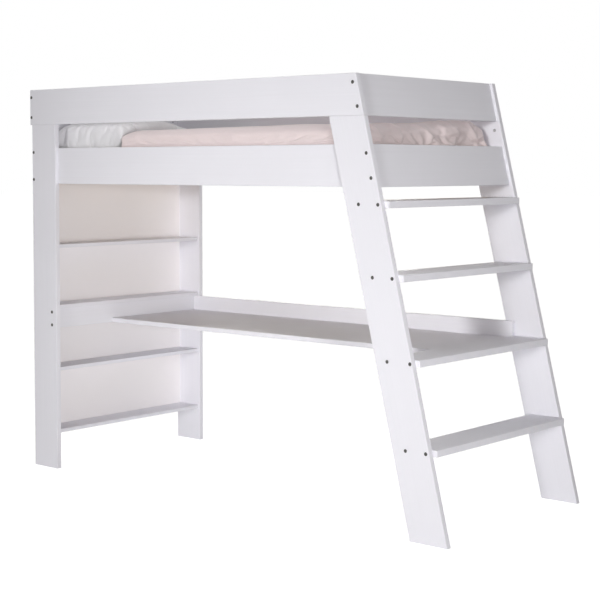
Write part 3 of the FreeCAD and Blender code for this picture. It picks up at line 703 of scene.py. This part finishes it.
class LOFTBED_OT_duvet(bpy.types.Operator):
    """Lay the duvet over its filling and let its cover fold"""
    bl_idname = "loftbed.duvet"
    bl_label = "Duvet"
    # Room between the duvet's box and its cover, and between that box and the filling inside the cover
    cover_foot_room = 8 * MM
    filling_room, filling_foot_room = 6 * MM, 30 * MM
    # Corner radii from above: small at the front by the pillow and behind at the foot, wide at the others
    small_corner, wide_corner = 25 * MM, 60 * MM
    # The foot end leans with the end boards: how far in it reaches, its lean and the boards' own
    foot_reach = 0.2
    foot_lean = 0.2
    board_lean = 0.24
    board_room = 8 * MM
    # Heights as shares of the box: at the edge, what the rounding adds, in the middle, crown and heap
    edge_height, rounding = 0.62, 0.3
    edge_width, edge_power = 90 * MM, 2.2
    middle_height, foot_gain = 0.74, 0.05
    crown_height = 0.17
    heap_height = 0.3
    swell, swell_width = 9 * MM, 120 * MM
    # Depths of the folds in millimetres: hanging at the foot, slanting, slanting in front and wide on top
    hanging_fold, slanting_fold, front_fold, wide_fold = 30, 2, 7, 9
    # How high the seam on the mattress is held, and how far the sides may swell above it
    held_height = 6 * MM
    side_swell, side_height = 10 * MM, 20 * MM

    def execute(self, context):
        bedding = context.scene.loft_bed_bedding
        cotton = make_cotton("duvet_cotton", tuple(bedding.duvet), bedding.thread, sheen=0.35)
        bm = self.filled_form(bedding.duvet_cell, 0.0, self.cover_foot_room)
        map_cloth(bm)
        self.crease(bm)
        piece = new_piece("duvet_cover", bm, cotton, "duvet")
        core = self.filling(bedding.duvet_cell * 2)
        run_cloth(piece, 36, held=self.held, loose=self.loose, gravity=1.0, shrink_min=-0.02,
                  shrink_max=-0.06, tension_stiffness=15.0, compression_stiffness=15.0,
                  shear_stiffness=4.0, bending_stiffness=0.4)
        bpy.data.objects.remove(core)
        self.keep_clear(piece.data)
        soften(piece)
        return {"FINISHED"}

    def held(self, place):
        return 1.0 if place.z < DUVET_LOW.z + self.held_height else 0.0

    def loose(self, place):
        """How much spare cover there is: most at the foot and some all over the top."""
        foot = smooth_step(place.x, DUVET_HIGH.x - 0.3, DUVET_HIGH.x - 0.03)
        top = 0.35 * smooth_step(place.z, DUVET_LOW.z + 0.06, DUVET_LOW.z + 0.1)
        return max(foot, top)

    def crease(self, bm):
        """Draws the spare cover into folds: hanging at the foot, slanting in front, wide on top."""
        bm.normal_update()
        for vertex in bm.verts:
            x, y, z = vertex.co
            free = smooth_step(z, DUVET_LOW.z + 4 * MM, DUVET_LOW.z + 22 * MM)
            foot = smooth_step(x, DUVET_HIGH.x - 0.25, DUVET_HIGH.x - 0.05)
            front = smooth_step(-y, 0.3, 0.45) * smooth_step(x, -0.5, 0.6)
            hang = self.hanging_fold * foot * ridge(y * 11 + z * 6, x * 3, z * 4)
            slant = (self.slanting_fold + self.front_fold * front) * ridge(x * 9 - z * 9, y * 4, 7.7)
            lie = self.wide_fold * (1 - front) * ridge(x * 2.7 + y * 1.9, y * 3.6 - x * 1.3, 2.2)
            vertex.co += vertex.normal * free * (hang + (slant + lie) * (1 - foot)) * MM

    def filled_form(self, cell, shrink, foot_room):
        """The duvet as a closed, softly rounded form on the mattress, with room for its folds."""
        low = DUVET_LOW + Vector((shrink, shrink, 0))
        high = DUVET_HIGH - Vector((foot_room, shrink, 0))
        bm = block_grid(low, high, cell)
        for vertex in bm.verts:
            share = (vertex.co.z - low.z) / (high.z - low.z)
            vertex.co.z = low.z + share * (self.rise(vertex.co, low, high) - shrink)
            self.round_plan(vertex.co, low, high)
            foot = smooth_step(vertex.co.x, high.x - self.foot_reach, high.x)
            vertex.co.x += self.foot_lean * foot * (DUVET_HIGH.z - vertex.co.z)
        return bm

    def round_plan(self, place, low, high):
        """Rounds the corners as seen from above."""
        middle, half = (low + high) / 2, (high - low) / 2
        offset = place - middle
        radius = self.small_corner if offset.x * offset.y > 0 else self.wide_corner
        depth = [abs(offset[axis]) - half[axis] + radius for axis in (0, 1)]
        if min(depth) > 0:
            inward = 1 - max(depth) / math.hypot(*depth)
            for axis in (0, 1):
                place[axis] -= math.copysign(depth[axis] * inward, offset[axis])

    def rise(self, place, low, high):
        """Height of the form: round at its edges, crowned along its middle, heaped behind at the foot."""
        edge = min(place.x - low.x, high.x - place.x, place.y - low.y, high.y - place.y)
        along = (place.x - low.x) / (high.x - low.x)
        across = (place.y - low.y) / (high.y - low.y)
        inward = (1 - min(1.0, edge / self.edge_width)) ** self.edge_power
        rounded = self.edge_height + self.rounding * (1 - inward)
        full = self.middle_height + self.foot_gain * smooth_step(along, 0.0, 0.45)
        crown = self.crown_height * smooth_step(across, 0.05, 0.6) * smooth_step(across, 1.0, 0.7)
        crown *= 1 - 0.6 * smooth_step(along, 0.5, 0.85)
        heap = self.heap_height * smooth_step(along, 0.6, 0.95) * smooth_step(across, 0.4, 0.9)
        full += math.hypot(crown, heap)
        swell = self.swell * noise.noise(Vector((place.x * 3.1, place.y * 3.7, 4.2)))
        return (high.z - low.z) * rounded * full + swell * min(1.0, edge / self.swell_width)

    def keep_clear(self, mesh):
        """Keeps the folds between the bed rails, off the pillow and off the leaning end boards."""
        held, free = DUVET_LOW.z + self.held_height, DUVET_LOW.z + self.side_height
        for vertex in mesh.vertices:
            place = vertex.co
            side = DUVET_HIGH.y + self.side_swell * smooth_step(place.z, held, free)
            place.y = min(side, max(-side, place.y))
            foot = DUVET_HIGH.x + self.board_room + self.board_lean * (DUVET_HIGH.z - place.z)
            place.x = min(foot, max(DUVET_LOW.x, place.x))
            place.z = max(DUVET_LOW.z, place.z)
        mesh.update()

    def filling(self, cell):
        """What the cover settles on, only while it settles."""
        bm = self.filled_form(cell, self.filling_room, self.filling_foot_room)
        core = add_mesh("duvet_filling", bm)
        core.modifiers.new("Collision", "COLLISION")
        core.collision.thickness_outer = 2 * MM
        core.collision.cloth_friction = 8.0
        return core


# Studio

class LOFTBED_OT_studio(bpy.types.Operator):
    """Set up the floor, the light and the camera"""
    bl_idname = "loftbed.studio"
    bl_label = "Studio"
    floor_half = 60.0
    room_colour = (1.0, 0.975, 0.965, 1)
    white = (1, 1, 1, 1)

    def execute(self, context):
        studio = context.scene.loft_bed_studio
        context.scene.view_settings.view_transform = "Standard"
        self.lay_floor(studio)
        self.light_room(context.scene, studio)
        for name, softbox in SOFTBOXES.items():
            self.place_softbox(name, *softbox, getattr(studio, name))
        self.place_camera(context.scene, studio)
        return {"FINISHED"}

    def lay_floor(self, studio):
        bm = bmesh.new()
        bmesh.ops.create_grid(bm, x_segments=1, y_segments=1, size=self.floor_half)
        floor = add_mesh("studio_floor", bm)
        material, tree, shader = start_material("studio_floor")
        shader.inputs["Base Color"].default_value = (*studio.floor, 1)
        shader.inputs["Roughness"].default_value = 1.0
        shader.inputs["Specular IOR Level"].default_value = 0.0
        shader.inputs["Emission Color"].default_value = self.white
        glow = spread(tree, seen_directly(tree), 0.0, 1.0, studio.floor_light, studio.floor_white)
        tree.links.new(glow, shader.inputs["Emission Strength"])
        floor.data.materials.append(material)

    def light_room(self, scene, studio):
        world = bpy.data.worlds.new("studio_room")
        world.use_nodes = True
        tree = world.node_tree
        soft = tree.nodes["Background"]
        soft.inputs["Color"].default_value = self.room_colour
        soft.inputs["Strength"].default_value = studio.room_light
        white = add_node(tree, "ShaderNodeBackground", Strength=1.0, Color=self.white)
        mix = tree.nodes.new("ShaderNodeMixShader")
        for socket, value in zip(mix.inputs, (seen_directly(tree), soft.outputs[0], white.outputs[0])):
            tree.links.new(value, socket)
        tree.links.new(mix.outputs[0], tree.nodes["World Output"].inputs["Surface"])
        scene.world = world

    def place_softbox(self, name, place, aim, size, beam, power):
        lamp = bpy.data.lights.new(name + "_softbox", "AREA")
        lamp.size = size
        lamp.spread = math.radians(beam)
        lamp.energy = power
        softbox = add_object(name + "_softbox", lamp)
        softbox.location = place
        softbox.rotation_euler = (Vector(aim) - softbox.location).to_track_quat("-Z", "Y").to_euler()

    def place_camera(self, scene, studio):
        lens = bpy.data.cameras.new("photo_camera")
        lens.lens = studio.camera_lens
        lens.shift_y = studio.camera_rise
        camera = add_object("photo_camera", lens)
        camera.location = studio.camera_place
        camera.rotation_euler = Euler((math.pi / 2 - studio.camera_tilt, 0.0, studio.camera_turn))
        scene.camera = camera


def seen_directly(tree):
    """1 for what the camera sees, straight, mirrored or through glass."""
    path = tree.nodes.new("ShaderNodeLightPath")
    seen = calculate(tree, "MAXIMUM", path.outputs["Is Camera Ray"], path.outputs["Is Glossy Ray"])
    return calculate(tree, "MAXIMUM", seen, path.outputs["Is Transmission Ray"])


OPERATORS = (LOFTBED_OT_boards, LOFTBED_OT_slats, LOFTBED_OT_fittings, LOFTBED_OT_mattress,
             LOFTBED_OT_pillow, LOFTBED_OT_duvet, LOFTBED_OT_studio)


class LOFTBED_PT_build(bpy.types.Panel):
    """Lists the steps that finish the loft bed"""
    bl_idname = "LOFTBED_PT_build"
    bl_label = "Loft Bed"
    bl_space_type = "VIEW_3D"
    bl_region_type = "UI"
    bl_category = "Loft Bed"

    def draw(self, context):
        for operator in OPERATORS:
            self.layout.operator(operator.bl_idname)


SETTINGS = {"loft_bed_finish": LoftBedFinish, "loft_bed_bedding": LoftBedBedding,
            "loft_bed_studio": LoftBedStudio}
CLASSES = (*SETTINGS.values(), *OPERATORS, LOFTBED_PT_build)


def register():
    for item in CLASSES:
        bpy.utils.register_class(item)
    for name, group in SETTINGS.items():
        setattr(bpy.types.Scene, name, bpy.props.PointerProperty(type=group))


def unregister():
    for name in SETTINGS:
        delattr(bpy.types.Scene, name)
    for item in reversed(CLASSES):
        bpy.utils.unregister_class(item)


def main():
    register()
    for step in ("boards", "slats", "fittings", "mattress", "pillow", "duvet", "studio"):
        getattr(bpy.ops.loftbed, step)()


if __name__ == "__main__":
    main()
